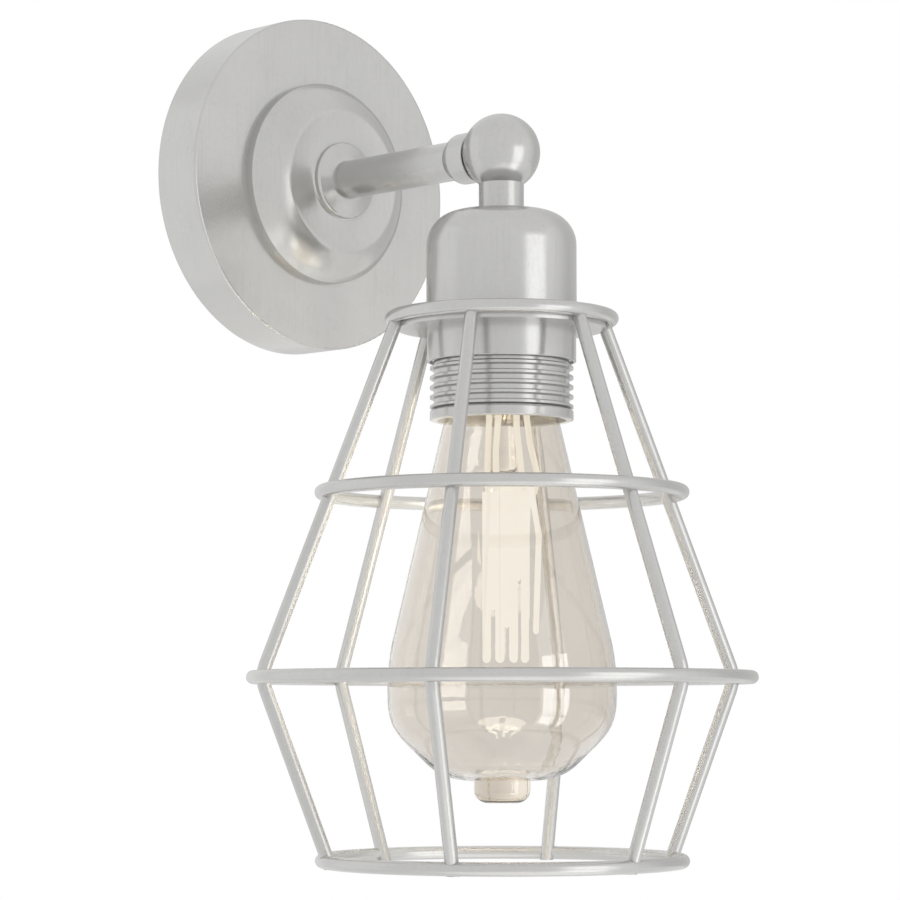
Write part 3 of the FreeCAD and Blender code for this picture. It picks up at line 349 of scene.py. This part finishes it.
def rosette():
    """The rosette, turned as one shell: upright rim, round dome, crest and shallow dish, then back inside."""
    face = -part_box("rosette")[1][1]
    bpy.ops.object.select_all(action="DESELECT")
    bpy.ops.mesh.primitive_circle_add(vertices=128, radius=ROSETTE_PROFILE[0][0] / 1000, fill_type="NOTHING",
                                      location=(0, -face, 0), rotation=(math.pi / 2, 0, 0))
    piece = bpy.context.active_object
    bpy.ops.object.mode_set(mode="EDIT")
    for (radius, height), (wider, higher) in zip(ROSETTE_PROFILE, ROSETTE_PROFILE[1:]):
        bpy.ops.mesh.extrude_region_move(TRANSFORM_OT_translate={"value": (0, (height - higher) / 1000, 0)})
        share = wider / radius
        bpy.ops.transform.resize(value=(share, 1, share), center_override=(0, 0, 0))
    bpy.ops.mesh.select_all(action="SELECT")
    bpy.ops.mesh.remove_doubles(threshold=0.000005)
    bpy.ops.mesh.normals_make_consistent(inside=False)
    bpy.ops.object.mode_set(mode="OBJECT")
    return finished(piece, "rosette_shell", "wall_part", "satin_nickel", "rosette")


def strand(route):
    """One wire drawn up from point to point of its route."""
    bpy.ops.object.select_all(action="DESELECT")
    bpy.ops.mesh.primitive_circle_add(vertices=12, radius=STRAND_R, fill_type="NGON", location=route[0])
    piece = bpy.context.active_object
    bpy.ops.object.mode_set(mode="EDIT")
    for start, end in zip(route, route[1:]):
        pull(end - start)
    bpy.ops.mesh.select_all(action="SELECT")
    bpy.ops.mesh.normals_make_consistent(inside=False)
    bpy.ops.object.mode_set(mode="OBJECT")
    return piece


def strands():
    """The wires between the filament's head and the stem's flare, two to each side of the stem; their warm glow is
    painted, in place of the filament's light falling on them.
    """
    right = Vector((math.cos(math.radians(CAMERA_TURN)), -math.sin(math.radians(CAMERA_TURN)), 0))
    front = Vector((-math.sin(math.radians(CAMERA_TURN)), -math.cos(math.radians(CAMERA_TURN)), 0))
    made = []
    for route in STRANDS:
        made.append(strand([CAGE_AXIS + right * across + front * ahead + Vector((0, 0, height))
                            for across, ahead, height in route]))
    bpy.ops.object.select_all(action="DESELECT")
    for piece in made:
        piece.select_set(True)
    bpy.context.view_layer.objects.active = made[0]
    bpy.ops.object.join()
    return finished(made[0], "painted_glow_strands", "bulb", "filament_wire", finish="painted_glow_strand")


def finished(piece, name, body, slot, node=None, finish=None):
    """Names, dresses and mounts a piece, with its place put into its mesh."""
    piece.name = name
    bpy.ops.object.select_all(action="DESELECT")
    piece.select_set(True)
    bpy.context.view_layer.objects.active = piece
    bpy.ops.object.transform_apply(location=True, rotation=True, scale=True)
    bpy.ops.object.shade_smooth_by_angle(angle=math.radians(50))
    dress(piece, finish or slot)
    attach(piece, body)
    if node:
        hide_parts(node)
    return piece


loops = filament()
painted_glow_strands = strands()
rosette()


# ---- floor, light and camera ----
def direction(azimuth):
    """The level direction out from the object: azimuth 0 is the camera's side, plus is to its right."""
    turn = math.radians(CAMERA_TURN - azimuth)
    return Vector((-math.sin(turn), -math.cos(turn), 0))


def seen_directly(tree):
    """1 for camera, glossy and transmission rays, which show the plain pale surroundings."""
    path = tree.nodes.new("ShaderNodeLightPath")
    seen = tree.nodes.new("ShaderNodeMath")
    seen.operation = "MAXIMUM"
    tree.links.new(path.outputs["Is Camera Ray"], seen.inputs[0])
    tree.links.new(path.outputs["Is Glossy Ray"], seen.inputs[1])
    through = tree.nodes.new("ShaderNodeMath")
    through.operation = "MAXIMUM"
    tree.links.new(seen.outputs["Value"], through.inputs[0])
    tree.links.new(path.outputs["Is Transmission Ray"], through.inputs[1])
    return through.outputs["Value"], path.outputs["Is Glossy Ray"]


def dimmer(tree, glossy):
    """1 all round, but for glossy rays less on the far side, towards the right."""
    away = direction(DIM_SIDE)
    place = tree.nodes.new("ShaderNodeTexCoord")
    along = tree.nodes.new("ShaderNodeVectorMath")
    along.operation = "DOT_PRODUCT"
    tree.links.new(place.outputs["Generated"], along.inputs[0])
    along.inputs[1].default_value = away
    fade = tree.nodes.new("ShaderNodeMapRange")
    fade.inputs["From Min"].default_value = DIM_START
    fade.inputs["From Max"].default_value = DIM_END
    fade.inputs["To Max"].default_value = DIM_SHARE
    tree.links.new(along.outputs["Value"], fade.inputs["Value"])
    share = tree.nodes.new("ShaderNodeMath")
    share.operation = "MULTIPLY"
    tree.links.new(fade.outputs["Result"], share.inputs[0])
    tree.links.new(glossy, share.inputs[1])
    left = tree.nodes.new("ShaderNodeMath")
    left.operation = "SUBTRACT"
    left.inputs[0].default_value = 1.0
    tree.links.new(share.outputs["Value"], left.inputs[1])
    return left.outputs["Value"]


def studio():
    bpy.ops.object.select_all(action="DESELECT")
    bpy.ops.mesh.primitive_circle_add(vertices=96, radius=FLOOR_R, fill_type="NGON", location=(0, -0.1, FLOOR_Z))
    floor = bpy.context.active_object
    floor.name = "floor"
    paint = Finish("pale floor")
    paint.put(Base_Color=(0.9, 0.9, 0.9, 1), Roughness=0.8, Specular_IOR_Level=0.0)
    seen, _ = seen_directly(paint.tree)
    paint.link(paint.ramp(seen, 0, 1, 0, FLOOR_GLOW), paint.shader.inputs["Emission Strength"])
    paint.put(Emission_Color=(1, 1, 1, 1))
    floor.data.materials.append(paint.material)

    world = bpy.data.worlds.new("studio")
    bpy.context.scene.world = world
    world.use_nodes = True
    tree = world.node_tree
    seen, glossy = seen_directly(tree)
    level = tree.nodes.new("ShaderNodeMapRange")
    level.inputs["To Min"].default_value = SKY_LIGHT
    level.inputs["To Max"].default_value = SKY_SEEN
    tree.links.new(seen, level.inputs["Value"])
    strength = tree.nodes.new("ShaderNodeMath")
    strength.operation = "MULTIPLY"
    tree.links.new(level.outputs["Result"], strength.inputs[0])
    tree.links.new(dimmer(tree, glossy), strength.inputs[1])
    tree.links.new(strength.outputs["Value"], tree.nodes["Background"].inputs["Strength"])
    tree.nodes["Background"].inputs["Color"].default_value = (1, 1, 1, 1)


def pane(name, azimuth, distance, wide, low, high, radiance, only=None):
    """An upright window pane of light that faces the cage axis."""
    out = direction(azimuth)
    lamp = bpy.data.lights.new(name, "AREA")
    lamp.shape = "RECTANGLE"
    lamp.size, lamp.size_y = wide, high - low
    lamp.energy = radiance * wide * (high - low) * math.pi
    holder = bpy.data.objects.new(name, lamp)
    bpy.context.scene.collection.objects.link(holder)
    holder.location = CAGE_AXIS + out * distance + Vector((0, 0, (low + high) / 2))
    holder.rotation_euler = (-out).to_track_quat("-Z", "Y").to_euler()
    holder.visible_camera = False
    if only:
        lit = bpy.data.collections.new(name)
        lit.objects.link(only)
        holder.light_linking.receiver_collection = lit
    return holder


def floor_bounce():
    """Soft light that comes back up from the floor in front of the wall."""
    lamp = bpy.data.lights.new("floor_bounce", "AREA")
    lamp.shape = "RECTANGLE"
    lamp.size, lamp.size_y = BOUNCE_SIZE
    lamp.energy = BOUNCE_RADIANCE * BOUNCE_SIZE[0] * BOUNCE_SIZE[1] * math.pi
    lamp.color = (1.0, 0.98, 0.95)
    holder = bpy.data.objects.new("floor_bounce", lamp)
    bpy.context.scene.collection.objects.link(holder)
    holder.location = BOUNCE_AT
    holder.rotation_euler = (math.pi, 0, 0)
    holder.visible_camera = False
    holder.visible_transmission = False


def glow_column(name, energy, low, high, count, radius, pieces, state):
    """The lit wire's light: a column of soft lamps that lights only these pieces, or all but these."""
    linked = bpy.data.collections.new(name)
    for piece in pieces:
        linked.objects.link(piece)
    for member in linked.collection_objects:
        member.light_linking.link_state = state
    for index in range(count):
        lamp = bpy.data.lights.new(f"{name}_{index}", "POINT")
        lamp.energy = energy / count
        lamp.color = (1.0, 0.91, 0.74)
        lamp.shadow_soft_size = radius
        holder = bpy.data.objects.new(lamp.name, lamp)
        bpy.context.scene.collection.objects.link(holder)
        holder.location = CAGE_AXIS + Vector((0, 0, low + (high - low) * (index + 0.5) / count))
        holder.visible_camera = False
        holder.visible_transmission = False
        holder.light_linking.receiver_collection = linked


def camera():
    lens = bpy.data.cameras.new("camera")
    lens.sensor_width = 36
    lens.lens = LENS_MM
    lens.clip_start, lens.clip_end = 0.05, 20
    eye = bpy.data.objects.new("camera", lens)
    bpy.context.scene.collection.objects.link(eye)
    eye.location = CAMERA_AT
    eye.rotation_euler = (math.radians(90 + CAMERA_LIFT), 0, math.radians(-CAMERA_TURN))
    bpy.context.scene.camera = eye


studio()
pane("window_upper", 52, 0.5, 0.28, -0.295, 0.10, METAL_WINDOW)
pane("window_lower", 52, 0.5, 0.28, -0.62, -0.325, METAL_WINDOW)
pane("glass_window_upper", 54, 0.49, 0.25, -0.345, -0.024, GLASS_WINDOW, nodes["bulb_glass"])
pane("glass_window_lower", 54, 0.49, 0.25, -0.535, -0.365, GLASS_WINDOW, nodes["bulb_glass"])
pane("right_soft_box", 88, 0.6, 0.45, -0.5, 0.4, 0.07)
pane("left_soft_box", -97, 0.6, 0.5, -0.5, 0.4, 0.12)
floor_bounce()
glow_column("bulb_glow", 0.42, -0.142, -0.078, 4, 0.009,
            [nodes["bulb_glass"], nodes["bulb_stem"], loops, painted_glow_strands], "EXCLUDE")
glow_column("glass_glow", 0.06, -0.142, -0.098, 3, 0.009, [nodes["bulb_glass"]], "INCLUDE")
nodes["bulb_glass"].visible_shadow = False
camera()
bpy.context.scene.view_settings.view_transform = "Standard"
